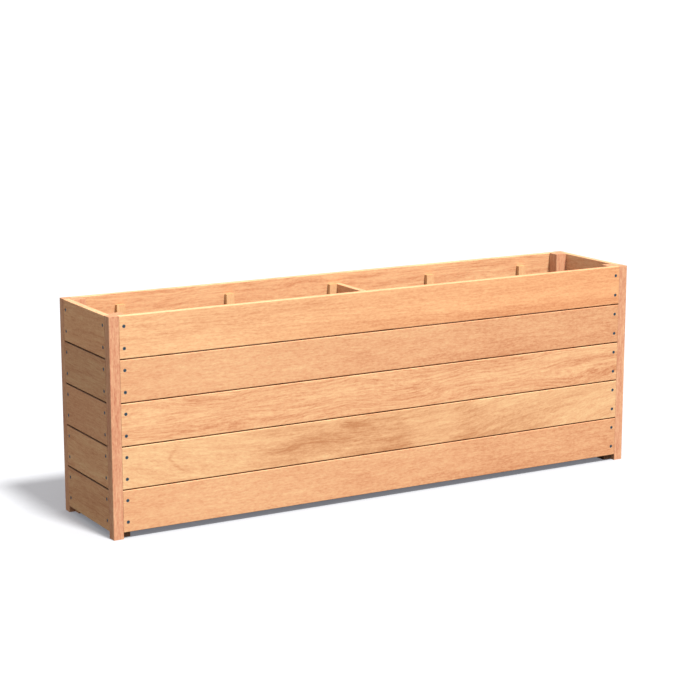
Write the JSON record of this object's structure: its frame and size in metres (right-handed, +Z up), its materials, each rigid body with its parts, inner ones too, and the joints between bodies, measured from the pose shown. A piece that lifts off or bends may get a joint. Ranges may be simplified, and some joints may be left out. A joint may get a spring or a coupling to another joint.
{
  "type": "planter box",
  "caption": "Long rectangular planter box of horizontal hardwood boards screwed to rebated corner posts, with inner battens, a cross board and a slatted floor.",
  "frame": {"origin": "centre of the box's footprint, on the ground under the feet", "axes": "+X along the length towards the right end, +Y across the box towards the rear wall, +Z up"},
  "size_m": [2, 0.4, 0.712],
  "materials": {
    "board_wood": "planed hardwood boards, warm orange-brown with wavy reddish figure, satin oil",
    "post_wood": "planed hardwood, redder than the boards, grain upright",
    "batten_wood": "planed hardwood, a little yellower than the boards",
    "floor_wood": "planed hardwood, unfinished inside",
    "screw_steel": "dark blue-grey coated steel screws"
  },
  "bodies": {
    "root": {"post_front_left": "post_wood", "post_front_right": "post_wood", "post_rear_left": "post_wood", "post_rear_right": "post_wood", "front_board_1": "board_wood", "front_board_2": "board_wood", "front_board_3": "board_wood", "front_board_4": "board_wood", "front_board_5": "board_wood", "rear_board_1": "board_wood", "rear_board_2": "board_wood", "rear_board_3": "board_wood", "rear_board_4": "board_wood", "rear_board_5": "board_wood", "left_board_1": "board_wood", "left_board_2": "board_wood", "left_board_3": "board_wood", "left_board_4": "board_wood", "left_board_5": "board_wood", "right_board_1": "board_wood", "right_board_2": "board_wood", "right_board_3": "board_wood", "right_board_4": "board_wood", "right_board_5": "board_wood", "front_batten_1": "batten_wood", "front_batten_2": "batten_wood", "front_batten_3": "batten_wood", "front_batten_4": "batten_wood", "front_batten_5": "batten_wood", "rear_batten_1": "batten_wood", "rear_batten_2": "batten_wood", "rear_batten_3": "batten_wood", "rear_batten_4": "batten_wood", "rear_batten_5": "batten_wood", "cross_board": "board_wood", "ledger_front": "floor_wood", "ledger_rear": "floor_wood", "ledger_left": "floor_wood", "ledger_right": "floor_wood", "floor_slat_1": "floor_wood", "floor_slat_2": "floor_wood", "floor_slat_3": "floor_wood", "floor_slat_4": "floor_wood", "floor_slat_5": "floor_wood", "floor_slat_6": "floor_wood", "floor_slat_7": "floor_wood", "floor_slat_8": "floor_wood", "floor_slat_9": "floor_wood", "floor_slat_10": "floor_wood", "floor_slat_11": "floor_wood", "floor_slat_12": "floor_wood", "floor_slat_13": "floor_wood", "floor_slat_14": "floor_wood", "long_wall_screws": "screw_steel", "end_wall_screws": "screw_steel", "batten_screws": "screw_steel", "cross_board_screws": "screw_steel", "ledger_screws": "screw_steel", "floor_screws": "screw_steel"}
  },
  "joints": []
}
